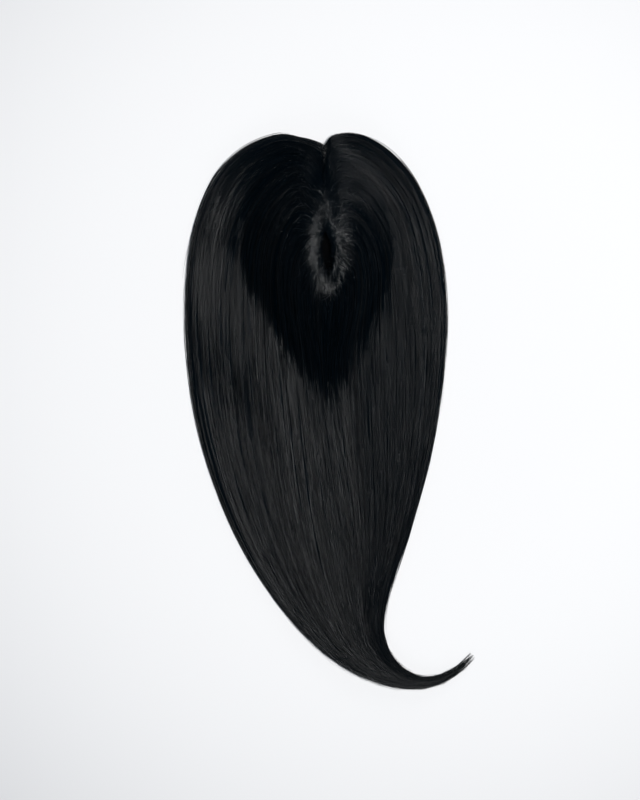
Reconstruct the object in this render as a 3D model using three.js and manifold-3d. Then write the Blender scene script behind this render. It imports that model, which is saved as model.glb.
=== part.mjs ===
import * as THREE from "three";
import { mergeVertices } from "three/addons/utils/BufferGeometryUtils.js";
import Module from "manifold-3d";

// A long toupee hairpiece lying by itself on a flat surface, in millimetres. +Z is up and +Y points
// to the front hairline. Every shape is worked out about the crown whorl at (0, 0), and the finished
// group is moved so that its origin is the middle of the bottom of its box.

const wasm = await Module();
wasm.setup();

// Hair lying on the surface
const FALL_WIDTH = 223;
const FALL_LENGTH = 473;
const HAIR_DEPTH = 8;
const HAIR_LOFT = 8;
const EDGE_ROUND = 9;
const EDGE_DEPTH = 2.2;
const FLOW_BLEND = 7;

// Foundation
const CAP_WIDTH = 127;
const CAP_LENGTH = 152;
const CAP_RISE = 30;
const CAP_WALL = 1.2;
const CAP_SETBACK = 1;
const CLEARANCE = 0.35;

// How far past the cap's rim the hair comes down to the surface
const DRAPE = { left: 7, right: 4, front: 3, back: 54 };

// Parting and crown whorl
const PARTING_LENGTH = 91;
const PARTING_WIDTH = 2.6;
const PARTING_SHIFT = -1.7;
const GROOVE_WIDTH = 24;
const GROOVE_FRONT = 4;
const GROOVE_CROWN = 6.5;
const WHORL_WIDTH = 13.6;
const WHORL_LENGTH = 37.4;
const PANEL_WIDTH = 14;

// Locks
const SIDE_LOCKS = 8;
const CROWN_LOCKS = 10;
const LOCK_RELIEF = 2.4;
const LOCK_ROOT = 0.9;
const SEAM_GAP = 0.8;

// Clips
const CLIP_LENGTH = 30;
const CLIP_WIDTH = 9;
const CLIP_THICKNESS = 1.2;
const CLIP_REACH = 0.74;
const CLIP_CLEARANCE = 0.6;
const SEATING_PASSES = 8;

// The way the hair lies, a row for each line across the flow from the roots to the tip. Places are
// shares of the fall's width and length from the whorl, for the left edge, the middle line and the
// right edge. "seam" is where a side curtain meets the crown's fall, as a share of the way from the
// edge to the middle line, and "depth" is a share of the hair's depth. Near the cap, "bow" bends the
// row square round the front, "lean" carries the locks forward, "pull" draws them to the middle line
// and "ring" pushes them out round the whorl, the last two for the left and for the right.
const PLAIN_ROW = { bow: 0, lean: 0, pull: [0, 0], ring: [0, 0], seam: 0, depth: 1 };
const ROWS = [
  { left: [-0.088, 0.21], middle: [0.004, -0.066], right: [0.034, 0.216], seam: 0.64,
    bow: 0.85, lean: 0.025, ring: [0.004, 0.034] },
  { left: [-0.187, 0.217], middle: [0.004, -0.092], right: [0.133, 0.217], seam: 0.63,
    bow: 0.45, lean: 0.016, ring: [0.01, 0.042] },
  { left: [-0.324, 0.19], middle: [0, -0.124], right: [0.255, 0.185], seam: 0.62,
    bow: 0.2, lean: 0.005, pull: [0.02, 0], ring: [0.008, 0.036] },
  { left: [-0.438, 0.133], middle: [-0.004, -0.164], right: [0.358, 0.122], seam: 0.6,
    bow: 0.08, pull: [0.05, 0], ring: [0, 0.024] },
  { left: [-0.511, 0.038], middle: [-0.004, -0.214], right: [0.431, 0.025], seam: 0.58,
    pull: [0.09, 0.03], ring: [0, 0.01] },
  { left: [-0.537, -0.09], middle: [0.008, -0.286], right: [0.461, -0.102], seam: 0.56,
    pull: [0.12, 0.05] },
  { left: [-0.518, -0.237], middle: [0.03, -0.368], right: [0.442, -0.239], seam: 0.52,
    pull: [0.12, 0.05] },
  { left: [-0.454, -0.372], middle: [0.061, -0.455], right: [0.396, -0.368], seam: 0.46,
    pull: [0.09, 0.03] },
  { left: [-0.339, -0.509], middle: [0.091, -0.543], right: [0.32, -0.498], seam: 0.37,
    pull: [0.05, 0] },
  { left: [-0.183, -0.627], middle: [0.118, -0.633], right: [0.236, -0.616], seam: 0.22,
    pull: [0.02, 0], depth: 1.15 },
  { left: [0.015, -0.724], middle: [0.16, -0.71], right: [0.225, -0.692], depth: 1.25 },
  { left: [0.221, -0.771], middle: [0.274, -0.758], right: [0.301, -0.746] },
  { left: [0.404, -0.778], middle: [0.412, -0.767], right: [0.415, -0.757], depth: 0.7 },
  { left: [0.568, -0.722], middle: [0.56, -0.719], right: [0.554, -0.717], depth: 0.35 },
].map((row) => ({ ...PLAIN_ROW, ...row }));

// A lock's section: share of its column and share of the relief, its two feet first
const LOCK_SECTION = [
  { across: 0, rise: 0 },
  { across: 1, rise: 0 },
  { across: 0.68, rise: 0.9 },
  { across: 0.3, rise: 1 },
];

// Clips by the angle of their place round the cap, from +X
const CLIPS = [
  { name: "snap_clip_front_right", angle: 42 },
  { name: "snap_clip_front_left", angle: 138 },
  { name: "snap_clip_back_left", angle: 232 },
  { name: "snap_clip_back_right", angle: 308 },
];

const CAP_CENTRE_Y = PARTING_LENGTH - CAP_SETBACK - CAP_LENGTH / 2;
const BARE_CAP = { left: 0, right: 0, front: 0, back: 0 };

// Steps along the flow: the rows count 1, 2, 3 and so on, with the roots at 0
const LAST_ROW = ROWS.length;
const STEP = 0.5;
const SIDE_END = 10.7;
const TIP_STEPS = 1.5;
const TIP_STAGGER = 0.4;
const TIP_SINK = 0.6;

// Shares
const LEAN_REACH = 0.85;
const RELIEF_LIMIT = 0.3;
const LEAST_TAPER = 0.02;
const SIDE_TIP_WIDTH = 0.5;

// Facets of the cap, and how much wider than high a skin of even thickness is at its rim
const CAP_SIDES = 32;
const CAP_RINGS = 6;
const CAP_SKIRT = 1.35;

// Height of the hair's top

function smoothMax(a, b, blend) {
  return (a + b + Math.hypot(a - b, blend)) / 2;
}

function capFall(x, y, drape) {
  const across = CAP_WIDTH / 2 + (x < 0 ? drape.left : drape.right);
  const along = CAP_LENGTH / 2 + (y > CAP_CENTRE_Y ? drape.front : drape.back);
  return 1 - (x / across) ** 2 - ((y - CAP_CENTRE_Y) / along) ** 2;
}

function grooveDepth(x, y) {
  const forward = THREE.MathUtils.clamp(y / PARTING_LENGTH, 0, 1);
  const depth = THREE.MathUtils.lerp(GROOVE_CROWN, GROOVE_FRONT, forward);
  const beyond = Math.max(0, -y - WHORL_LENGTH / 2, y - PARTING_LENGTH);
  const distance = Math.hypot(x - PARTING_SHIFT * forward, beyond);
  return depth * Math.exp(-((distance / (GROOVE_WIDTH / 2)) ** 2));
}

function hairHeight(x, y, depth) {
  const overCap = CAP_RISE * capFall(x, y, DRAPE) + HAIR_LOFT;
  return smoothMax(overCap, depth, FLOW_BLEND) - grooveDepth(x, y);
}

function capHeight(x, y) {
  return Math.max(0, CAP_RISE * capFall(x, y, BARE_CAP));
}

// Plan of the flow: "side" is -1 for left and 1 for right, "share" runs from the front edge (0) to
// the middle line behind the whorl (1), and "step" counts the rows from the roots (0) to the tip.

function rootPlace(side, share) {
  const back = -WHORL_LENGTH / 2;
  const y = THREE.MathUtils.lerp(PARTING_LENGTH, back, share);
  const bulge = Math.sqrt(THREE.MathUtils.clamp(1 - (y / back) ** 2, 0, 1));
  const opening = (PARTING_WIDTH * (1 - share) + WHORL_WIDTH * bulge) / 2;
  return { x: PARTING_SHIFT * (1 - share) + side * opening, y };
}

function rowPlace(row, side, share) {
  const hand = side < 0 ? 0 : 1;
  const edge = hand ? row.right : row.left;
  const along = share + row.pull[hand] * Math.sin(Math.PI * share);
  const square = 1 - Math.sqrt(Math.max(0, 1 - along ** 4));
  const across = THREE.MathUtils.lerp(along, square, row.bow);
  const push = side * row.ring[hand] * Math.sin(Math.PI * share ** 2);
  const lean = row.lean * Math.sin(Math.PI * Math.min(1, share / LEAN_REACH));
  return {
    x: FALL_WIDTH * (THREE.MathUtils.lerp(edge[0], row.middle[0], across) + push),
    y: FALL_LENGTH * (THREE.MathUtils.lerp(edge[1], row.middle[1], along) + lean),
  };
}

function controlPlace(side, share, index) {
  const row = THREE.MathUtils.clamp(index, 0, LAST_ROW);
  return row === 0 ? rootPlace(side, share) : rowPlace(ROWS[row - 1], side, share);
}

function blendFour(a, b, c, d, t) {
  const bend = -a + 3 * b - 3 * c + d;
  return 0.5 * (2 * b + (c - a) * t + (2 * a - 5 * b + 4 * c - d) * t * t + bend * t ** 3);
}

function flowPlace(side, share, step) {
  const first = Math.min(Math.floor(step), LAST_ROW - 1);
  const near = [-1, 0, 1, 2].map((offset) => controlPlace(side, share, first + offset));
  const blend = (axis) => blendFour(...near.map((place) => place[axis]), step - first);
  return { x: blend("x"), y: blend("y") };
}

function rowValue(name, step) {
  const last = LAST_ROW - 1;
  const first = THREE.MathUtils.clamp(Math.floor(step) - 1, 0, last);
  const next = Math.min(first + 1, last);
  const between = THREE.MathUtils.clamp(step - 1 - first, 0, 1);
  return THREE.MathUtils.lerp(ROWS[first][name], ROWS[next][name], between);
}

function reachAcross(side, step) {
  const edge = flowPlace(side, 0, step);
  const middle = flowPlace(side, 1, step);
  return Math.hypot(edge.x - middle.x, edge.y - middle.y);
}

// A point of the hair's top with the depth of hair under it

function topPoint(side, share, step) {
  const { x, y } = flowPlace(side, share, step);
  const depth = HAIR_DEPTH * rowValue("depth", step);
  const inward = Math.min(1, (share * reachAcross(side, step)) / EDGE_ROUND);
  const full = hairHeight(x, y, depth);
  const least = Math.min(EDGE_DEPTH, full);
  const z = least + (full - least) * Math.sqrt(1 - (1 - inward) ** 2);
  const under = capHeight(x, y);
  return { x, y, z: Math.max(z, under + LOCK_ROOT), thick: Math.max(z - under, LOCK_ROOT) };
}

// Closed solids from stations, each a row of points across its top and one across its bottom

function closedStrip(stations) {
  const across = stations[0].top.length;
  const positions = stations.flatMap(({ top, bottom }) => [...top, ...bottom].flat());
  const faces = [];
  const corner = (station, column, low) => station * across * 2 + column + (low ? across : 0);
  const quad = (a, b, c, d) => faces.push(a, b, c, a, c, d);
  const last = stations.length - 1;
  for (let s = 0; s < last; s++) {
    for (let c = 0; c < across - 1; c++) {
      quad(corner(s, c), corner(s, c + 1), corner(s + 1, c + 1), corner(s + 1, c));
      quad(corner(s, c, 1), corner(s + 1, c, 1), corner(s + 1, c + 1, 1), corner(s, c + 1, 1));
    }
    quad(corner(s, 0), corner(s + 1, 0), corner(s + 1, 0, 1), corner(s, 0, 1));
    const e = across - 1;
    quad(corner(s, e), corner(s, e, 1), corner(s + 1, e, 1), corner(s + 1, e));
  }
  for (let c = 0; c < across - 1; c++) {
    quad(corner(0, c), corner(0, c, 1), corner(0, c + 1, 1), corner(0, c + 1));
    quad(corner(last, c), corner(last, c + 1), corner(last, c + 1, 1), corner(last, c, 1));
  }
  const geometry = new THREE.BufferGeometry();
  geometry.setAttribute("position", new THREE.Float32BufferAttribute(positions, 3));
  geometry.setIndex(faces);
  return geometry;
}

// A ring of corners at each station, joined side by side and closed at both ends

function closedLoft(rings) {
  const round = rings[0].length;
  const last = rings.length - 1;
  const faces = [];
  const corner = (ring, place) => ring * round + (place % round);
  for (let r = 0; r < last; r++) {
    for (let p = 0; p < round; p++) {
      faces.push(corner(r, p), corner(r, p + 1), corner(r + 1, p + 1));
      faces.push(corner(r, p), corner(r + 1, p + 1), corner(r + 1, p));
    }
  }
  for (let p = 1; p < round - 1; p++) {
    faces.push(corner(0, 0), corner(0, p + 1), corner(0, p));
    faces.push(corner(last, 0), corner(last, p), corner(last, p + 1));
  }
  const geometry = new THREE.BufferGeometry();
  geometry.setAttribute("position", new THREE.Float32BufferAttribute(rings.flat(2), 3));
  geometry.setIndex(faces);
  return geometry;
}

function signedVolume(positions, faces) {
  const corner = (face) => new THREE.Vector3().fromArray(positions, 3 * face);
  let volume = 0;
  for (let f = 0; f < faces.length; f += 3) {
    volume += corner(faces[f]).dot(corner(faces[f + 1]).cross(corner(faces[f + 2])));
  }
  return volume;
}

function toSolid(geometry) {
  const bare = geometry.clone();
  bare.deleteAttribute("normal");
  bare.deleteAttribute("uv");
  const merged = mergeVertices(bare, 1e-4);
  const vertProperties = new Float32Array(merged.attributes.position.array);
  const triVerts = new Uint32Array(merged.index.array);
  if (signedVolume(vertProperties, triVerts) < 0) triVerts.reverse();
  return new wasm.Manifold(new wasm.Mesh({ numProp: 3, vertProperties, triVerts }));
}

function toGeometry(solid) {
  const mesh = solid.getMesh();
  const geometry = new THREE.BufferGeometry();
  geometry.setAttribute("position", new THREE.Float32BufferAttribute(mesh.vertProperties, 3));
  geometry.setIndex(new THREE.Uint32BufferAttribute(mesh.triVerts, 1));
  geometry.computeVertexNormals();
  return geometry;
}

// Curtains. "band" gives, for a step and a share across the curtain, the side and share of the flow.

function stepsTo(end) {
  const count = Math.ceil(end / STEP);
  return Array.from({ length: count + 1 }, (_, i) => Math.min(i * STEP, end));
}

function hairPoint(band, step, across, rise) {
  const { side, share } = band(step, across);
  const { x, y, z, thick } = topPoint(side, share, step);
  const relief = Math.min(LOCK_RELIEF, thick * RELIEF_LIMIT);
  return [x, y, z + relief * (rise - 1)];
}

function backing(band, end, columns) {
  const stations = stepsTo(end).map((step) => {
    const places = Array.from({ length: columns + 1 }, (_, c) => c / columns);
    const top = places.map((across) => hairPoint(band, step, across, 0));
    return { top, bottom: top.map(([x, y]) => [x, y, 0]) };
  });
  return toSolid(closedStrip(stations));
}

// A lock sits on its own column of the backing and sinks into it, narrower, towards its tip

function lock(band, column, columns, end) {
  const rings = stepsTo(end).map((step) => {
    const taper = Math.sqrt(THREE.MathUtils.clamp((end - step) / TIP_STEPS, LEAST_TAPER, 1));
    return LOCK_SECTION.map(({ across, rise }) => {
      const place = taper < 1 ? 0.5 + (across - 0.5) * taper : across;
      const height = taper < 1 ? rise * taper - (rise ? 0 : TIP_SINK) : rise;
      return hairPoint(band, step, (column + place) / columns, height);
    });
  });
  return toSolid(closedLoft(rings));
}

function curtain(band, ends) {
  let hair = backing(band, Math.max(...ends), ends.length);
  ends.forEach((end, column) => {
    hair = hair.add(lock(band, column, ends.length, end));
  });
  return hair.subtract(domeSolid(CLEARANCE));
}

function sideBand(side) {
  return (step, across) => {
    const tip = THREE.MathUtils.clamp((SIDE_END - step) / STEP, SIDE_TIP_WIDTH, 1);
    return { side, share: across * rowValue("seam", step) * tip };
  };
}

function crownBand(step, across) {
  const side = across < 0.5 ? -1 : 1;
  const seam = rowValue("seam", step);
  const gap = seam > 0 ? SEAM_GAP / reachAcross(side, step) : 0;
  const outward = Math.abs(across - 0.5) * 2;
  return { side, share: THREE.MathUtils.lerp(1, seam + gap, outward) };
}

// Foundation

function domeSolid(grow) {
  const profile = [];
  for (let ring = 0; ring <= CAP_RINGS; ring++) {
    const reach = ring / CAP_RINGS;
    profile.push(new THREE.Vector2(reach, (CAP_RISE + grow) * (1 - reach ** 2)));
  }
  profile.push(new THREE.Vector2(1, -CAP_WALL), new THREE.Vector2(0, -CAP_WALL));
  const dome = new THREE.LatheGeometry(profile, CAP_SIDES);
  dome.rotateX(Math.PI / 2);
  dome.scale(CAP_WIDTH / 2 + grow * CAP_SKIRT, CAP_LENGTH / 2 + grow * CAP_SKIRT, 1);
  return toSolid(dome.translate(0, CAP_CENTRE_Y, 0));
}

function capShell() {
  const floor = new THREE.BoxGeometry(2 * CAP_WIDTH, 2 * CAP_LENGTH, 4 * CAP_WALL);
  floor.translate(0, CAP_CENTRE_Y, -2 * CAP_WALL);
  return domeSolid(0).subtract(domeSolid(-CAP_WALL)).subtract(toSolid(floor));
}

function panelPrism(grow) {
  const half = PANEL_WIDTH / 2 + grow;
  const outline = new THREE.Shape();
  outline.moveTo(-half, 0);
  outline.absarc(0, -WHORL_LENGTH / 2, half, Math.PI, 2 * Math.PI);
  outline.lineTo(half, PARTING_LENGTH + CAP_SETBACK);
  outline.lineTo(-half, PARTING_LENGTH + CAP_SETBACK);
  const options = { depth: CAP_RISE + 2 * CAP_WALL, bevelEnabled: false, curveSegments: 5 };
  return toSolid(new THREE.ExtrudeGeometry(outline, options).translate(0, 0, -CAP_WALL));
}

// A clip lies flat against the inside of the cap, along the rim

function insideDistance(point) {
  const across = CAP_WIDTH / 2 - CAP_WALL * CAP_SKIRT;
  const along = CAP_LENGTH / 2 - CAP_WALL * CAP_SKIRT;
  const rise = CAP_RISE - CAP_WALL;
  const y = point.y - CAP_CENTRE_Y;
  const level = 1 - (point.x / across) ** 2 - (y / along) ** 2 - point.z / rise;
  const slope = new THREE.Vector3((2 * point.x) / across ** 2, (2 * y) / along ** 2, 1 / rise);
  return { distance: level / slope.length(), outward: slope.normalize() };
}

function clipGeometry() {
  const end = CLIP_WIDTH / 2;
  const straight = CLIP_LENGTH / 2 - end;
  const outline = new THREE.Shape();
  outline.absarc(straight, 0, end, -Math.PI / 2, Math.PI / 2);
  outline.absarc(-straight, 0, end, Math.PI / 2, (3 * Math.PI) / 2);
  const options = { depth: CLIP_THICKNESS, bevelEnabled: false, curveSegments: 6 };
  return new THREE.ExtrudeGeometry(outline, options).translate(0, 0, -CLIP_THICKNESS);
}

function placeClip(mesh, degrees) {
  const angle = THREE.MathUtils.degToRad(degrees);
  const x = (CLIP_REACH * Math.cos(angle) * CAP_WIDTH) / 2;
  const y = CAP_CENTRE_Y + (CLIP_REACH * Math.sin(angle) * CAP_LENGTH) / 2;
  const place = new THREE.Vector3(x, y, CAP_RISE * (1 - CLIP_REACH ** 2));
  const { outward } = insideDistance(place);
  const along = new THREE.Vector3(0, 0, 1).cross(outward).normalize();
  const basis = new THREE.Matrix4().makeBasis(along, outward.clone().cross(along), outward);
  mesh.quaternion.setFromRotationMatrix(basis);
  for (let pass = 0; pass < SEATING_PASSES; pass++) {
    const ends = [-0.5, 0, 0.5].map((share) => place.clone().addScaledVector(along, share * CLIP_LENGTH));
    const nearest = Math.min(...ends.map((end) => insideDistance(end).distance));
    place.addScaledVector(outward, nearest - CLIP_CLEARANCE);
  }
  mesh.position.copy(place);
}

// Assembly

const HAIR_FINISH = { color: 0x0c0e11, roughness: 0.45, metalness: 0 };
const CAP_FINISH = { color: 0x1a1412, roughness: 0.85, metalness: 0 };
const PANEL_FINISH = { color: 0xc9b8a8, roughness: 0.6, metalness: 0 };
const CLIP_FINISH = { color: 0x1b1a1a, roughness: 0.4, metalness: 0.9 };

function named(name, geometry, finish) {
  const mesh = new THREE.Mesh(geometry, new THREE.MeshStandardMaterial(finish));
  mesh.name = name;
  return mesh;
}

// The steps at which the locks of a curtain end, one after another and then again from the first

function staggeredEnds(count, end, cycle) {
  return Array.from({ length: count }, (_, i) => end - TIP_STAGGER * ((i * 3) % cycle));
}

const hairpiece = new THREE.Group();
const shell = capShell();
const sideEnds = staggeredEnds(SIDE_LOCKS, SIDE_END, 4);
const crownEnds = staggeredEnds(CROWN_LOCKS, LAST_ROW, 5);
hairpiece.add(
  named("base_cap", toGeometry(shell.subtract(panelPrism(CLEARANCE))), CAP_FINISH),
  named("parting_panel", toGeometry(shell.intersect(panelPrism(0))), PANEL_FINISH),
  named("hair_left", toGeometry(curtain(sideBand(-1), sideEnds)), HAIR_FINISH),
  named("hair_right", toGeometry(curtain(sideBand(1), sideEnds)), HAIR_FINISH),
  named("hair_crown", toGeometry(curtain(crownBand, crownEnds)), HAIR_FINISH),
);
for (const { name, angle } of CLIPS) {
  const clip = named(name, clipGeometry(), CLIP_FINISH);
  placeClip(clip, angle);
  hairpiece.add(clip);
}

const group = new THREE.Group();
group.add(hairpiece);
const box = new THREE.Box3().setFromObject(group, true);
const middle = box.getCenter(new THREE.Vector3());
hairpiece.position.set(-middle.x, -middle.y, -box.min.z);

export default group;
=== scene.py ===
"""A long toupee hairpiece lying on a pale surface, seen from straight above."""

import bmesh
import bpy
import numpy as np
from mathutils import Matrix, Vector


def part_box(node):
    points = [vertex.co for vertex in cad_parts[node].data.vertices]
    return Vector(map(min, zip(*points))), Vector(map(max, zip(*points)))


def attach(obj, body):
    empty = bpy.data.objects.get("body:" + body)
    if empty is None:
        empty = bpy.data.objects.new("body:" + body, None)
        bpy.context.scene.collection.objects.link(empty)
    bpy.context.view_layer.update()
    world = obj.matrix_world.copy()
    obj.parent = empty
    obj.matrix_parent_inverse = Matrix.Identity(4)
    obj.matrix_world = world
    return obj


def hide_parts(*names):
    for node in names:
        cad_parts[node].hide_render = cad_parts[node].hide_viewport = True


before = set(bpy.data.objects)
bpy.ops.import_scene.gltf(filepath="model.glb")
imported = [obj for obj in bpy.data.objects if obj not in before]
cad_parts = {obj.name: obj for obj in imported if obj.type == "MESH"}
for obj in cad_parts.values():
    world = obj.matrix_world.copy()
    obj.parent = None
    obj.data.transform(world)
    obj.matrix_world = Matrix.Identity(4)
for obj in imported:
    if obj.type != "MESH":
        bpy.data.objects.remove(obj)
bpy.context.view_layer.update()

MM = 0.001

# Sizes, in metres, as in the construction, apart from DRAPE: loose hair leaves the cap sooner at the
# back, in a point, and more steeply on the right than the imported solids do
FALL_WIDTH = 223 * MM
FALL_LENGTH = 473 * MM
HAIR_DEPTH = 8 * MM
HAIR_LOFT = 8 * MM
EDGE_ROUND = 9 * MM
EDGE_DEPTH = 2.2 * MM
FLOW_BLEND = 7 * MM
CAP_WIDTH = 127 * MM
CAP_LENGTH = 152 * MM
CAP_RISE = 30 * MM
CAP_SETBACK = 1 * MM
DRAPE = {"left": 7 * MM, "right": -7 * MM, "front": 3 * MM, "back": 40 * MM, "taper": 0.4}
BARE_CAP = {"left": 0, "right": 0, "front": 0, "back": 0, "taper": 0}
PARTING_LENGTH = 91 * MM
PARTING_WIDTH = 2.6 * MM
PARTING_SHIFT = -1.7 * MM
GROOVE_WIDTH = 24 * MM
GROOVE_FRONT = 4 * MM
GROOVE_CROWN = 6.5 * MM
WHORL_WIDTH = 13.6 * MM
WHORL_LENGTH = 37.4 * MM
PANEL_WIDTH = 14 * MM
LEAN_REACH = 0.85

# Foundation; the film's dark and pale parts are measured back from the hairline
NET_WALL = 0.7 * MM
FILM_DEPTH = 0.4 * MM
FILM_DARK_END, FILM_PALE_START = 8 * MM, 3 * MM
RIM_LIFT = 0.2 * MM
BINDING_HALF = 0.9 * MM
BINDING_SIDES = 12
PUCKERS = 96
PUCKER_SIZE = 0.07
CAP_RINGS, CAP_SPOKES = 30, 144
FILM_ROWS, FILM_COLUMNS = 90, 11

# Places from the whorl turn into places of the frame by way of the cap's back rim
CAP_LOW, CAP_HIGH = (np.array(corner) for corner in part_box("base_cap"))
CAP_CENTRE_Y = PARTING_LENGTH - CAP_SETBACK - CAP_LENGTH / 2
WHORL = np.array([
    (CAP_LOW[0] + CAP_HIGH[0]) / 2,
    CAP_LOW[1] + CAP_LENGTH / 2 - CAP_CENTRE_Y,
    0,
])

# The way the hair lies, a row for each line across the flow from the roots to the tip, in shares
# of the fall's width and length from the whorl. The columns are those of the construction.
PLAIN_ROW = {"bow": 0, "lean": 0, "pull": (0, 0), "ring": (0, 0), "depth": 1}
ROWS = [{**PLAIN_ROW, **row} for row in [
    {"left": (-0.088, 0.21), "middle": (0.004, -0.066), "right": (0.034, 0.216),
     "bow": 0.85, "lean": 0.025, "ring": (0.004, 0.034)},
    {"left": (-0.187, 0.217), "middle": (0.004, -0.092), "right": (0.133, 0.217),
     "bow": 0.45, "lean": 0.016, "ring": (0.01, 0.042)},
    {"left": (-0.324, 0.19), "middle": (0, -0.124), "right": (0.255, 0.185),
     "bow": 0.2, "lean": 0.005, "pull": (0.02, 0), "ring": (0.008, 0.036)},
    {"left": (-0.438, 0.133), "middle": (-0.004, -0.164), "right": (0.358, 0.122),
     "bow": 0.08, "pull": (0.05, 0), "ring": (0, 0.024)},
    {"left": (-0.511, 0.038), "middle": (-0.004, -0.214), "right": (0.431, 0.025),
     "pull": (0.09, 0.03), "ring": (0, 0.01)},
    {"left": (-0.537, -0.09), "middle": (0.008, -0.286), "right": (0.461, -0.102),
     "pull": (0.12, 0.05)},
    {"left": (-0.518, -0.237), "middle": (0.03, -0.368), "right": (0.442, -0.239),
     "pull": (0.12, 0.05)},
    {"left": (-0.454, -0.372), "middle": (0.061, -0.455), "right": (0.396, -0.368),
     "pull": (0.09, 0.03)},
    {"left": (-0.339, -0.509), "middle": (0.091, -0.543), "right": (0.32, -0.498),
     "pull": (0.05, 0)},
    {"left": (-0.183, -0.627), "middle": (0.118, -0.633), "right": (0.236, -0.616),
     "pull": (0.02, 0), "depth": 1.15},
    {"left": (0.015, -0.724), "middle": (0.16, -0.71), "right": (0.225, -0.692), "depth": 1.25},
    {"left": (0.221, -0.7725), "middle": (0.274, -0.758), "right": (0.301, -0.746)},
    {"left": (0.404, -0.7755), "middle": (0.412, -0.767), "right": (0.415, -0.757), "depth": 0.7},
    {"left": (0.568, -0.722), "middle": (0.56, -0.719), "right": (0.554, -0.717), "depth": 0.35},
]]
LAST_ROW = len(ROWS)

# Where the loose hair leaves that plan. A pair with "STEPS" or "SHARES" in its name is a window: the
# effect grows from nothing at its first number to the whole at its second.
TIP_CURL = np.array([1.1 * MM, -1.7 * MM])
NOTCH_LIFT = np.array([0, 4.5 * MM])
NOTCH_SHARES, NOTCH_STEPS = (0.16, 0), (1.3, 0)
SIDE_SWELL = 1.8 * MM
SWELL_CREST, SWELL_LENGTH = 5.85, 3
SWELL_SHARES, SWELL_IN_STEPS, SWELL_OUT_STEPS = (0.6, 0.25), (4.6, 5.6), (9, 8)

# Strands, each in a piece of its hand (-1 left, 1 right) between two shares of the fall
STRAND_PIECES = [
    {"name": "strands_left_front", "side": -1, "low": 0.0, "high": 0.34},
    {"name": "strands_left_side", "side": -1, "low": 0.34, "high": 0.67},
    {"name": "strands_crown_left", "side": -1, "low": 0.67, "high": 1.0},
    {"name": "strands_right_front", "side": 1, "low": 0.0, "high": 0.34},
    {"name": "strands_right_side", "side": 1, "low": 0.34, "high": 0.67},
    {"name": "strands_crown_right", "side": 1, "low": 0.67, "high": 1.0},
]
STRANDS = 3540
STRAND_POINTS = 40
STRAND_SIDES = 3
STRAND_RADIUS = 0.15 * MM
POINT_CROWDING = 1.3
SHORT_STRANDS = 420
SHORT_POINTS = 12
FLYAWAYS = 36
ROOTED_CHANCE = 0.74
LATEST_START = 2.6

# The share of strands that have ended by each step: the fall thins as it gathers to its tail
END_STEP = [7.0, 8.2, 9.3, 10.2, 11.0, 12.0, 13.0, 14.0]
END_CHANCE = [0.0, 0.1, 0.3, 0.5, 0.64, 0.76, 0.87, 1.0]
END_SCATTER = 0.12

# How strands set off from the parting and the whorl
ROOT_LEAN = {-1: 0.16, 1: 0.26}
WHORL_LEAN = {-1: -0.05, 1: 0.05}
LEAN_FADE = {-1: 1.3, 1: 1.0}
LEAN_SHARES, HAIRLINE_SHARES, HAIRLINE_LEAN = (0.72, 0.5), (0, 0.22), 0.1
WHORL_SHARES, BACK_SHARES = (0.52, 0.74), (1.0, 0.9)
PARTING_CROSSING = 3.2 * MM
CROSSING_FADE = 6
PARTING_RISE = 0.8
WHORL_RISE = 0.5
RISE_STEPS = (0, 0.3)
ARCH_FILL = {-1: 0.35, 1: 1.15}
CROWN_FILL = 0.6

# Clumps of strands that move alike: a seed and how many there are to a hand. They are unevenly
# wide, by two swings whose sizes and rates are counted in clumps.
CLUMPS = {"fine": (11, 105), "locks": (17, 44), "broad": (23, 26)}
CLUMP_START = 1.3
CLUMP_SWINGS = [(0.9, 0.41), (0.35, 1.07)]

# How far strands draw together to the heart of a clump: its wavelength in steps, mean and swing
GATHERING = [("locks", 7, 0.3, 0.15), ("fine", 5, 0.45, 0.25)]
GATHER_STEPS, GATHER_SHARES = (0.4, 3), (0, 0.1)

# Waves of the clumps: whose, which of its phases, wavelength in steps, size, and its window of steps
ALWAYS = (-1, 0)
FLAT_STEPS = (2.5, 5)
SWAYS = [("broad", 0, 7.5, 0.0045, (0.5, 4)), ("fine", 1, 4.3, 0.0018, (0.5, 3))]
RELIEF = [
    ("broad", 2, 5.5, 0.5 * MM, ALWAYS),
    ("fine", 3, 3.7, 0.3 * MM, ALWAYS),
    ("fine", 2, 1.35, 0.5 * MM, FLAT_STEPS),
]
TONE_RELIEF = 0.3 * MM
CLUMP_ROUNDING = {"fine": 0.6 * MM, "locks": 0.9 * MM}
RELIEF_STEPS = (0.6, 2.5)

# Ripples of single strands: wavelength in steps and size, in shares across and in metres down
SHARE_RIPPLES = [(8, 0.004), (3.5, 0.0016)]
LONG_RIPPLE, SHORT_RIPPLE = (4, 0.33 * MM), (1.6, 0.5 * MM)
STRAY_CHANCE, STRAY_SWING, CALM_SWING = 0.22, 2.6, 0.8
MEAN_SINK = 0.55 * MM
SINK_LIMITS = (-0.4 * MM, 4 * MM)
SHORT_FAN = 0.035
SHORT_LIFT = 1.6 * MM
EDGE_PILE = 0.85
LOW_STRAND = 0.5 * MM
LOW_ROOT = 0.3 * MM
LOWEST_SHARE, FARTHEST_SHARE = 0.001, 1.06

# Girth in tube radii, with some stout strands, and tint, the same along clumps
GIRTH_RANGE = (0.6, 1.1)
STOUT_CHANCE, STOUT_EXTRA = 0.2, 0.9
ROOT_GIRTH, TIP_GIRTH = 0.8, 0.25
TINT_SPREAD = (2, 3)
TINT_TONES = {"fine": 0.2, "broad": 0.12}

# The tip parts into wisps: the shares that they lie at, and the shares that gather in each
TIP_WISPS = np.array([-0.35, 0.4, 1.15])
WISP_ROOTS = (0.15, 0.45, 0.8)
WISP_PULL = 0.75
LOOSE_END = 1.3 * MM

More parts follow.
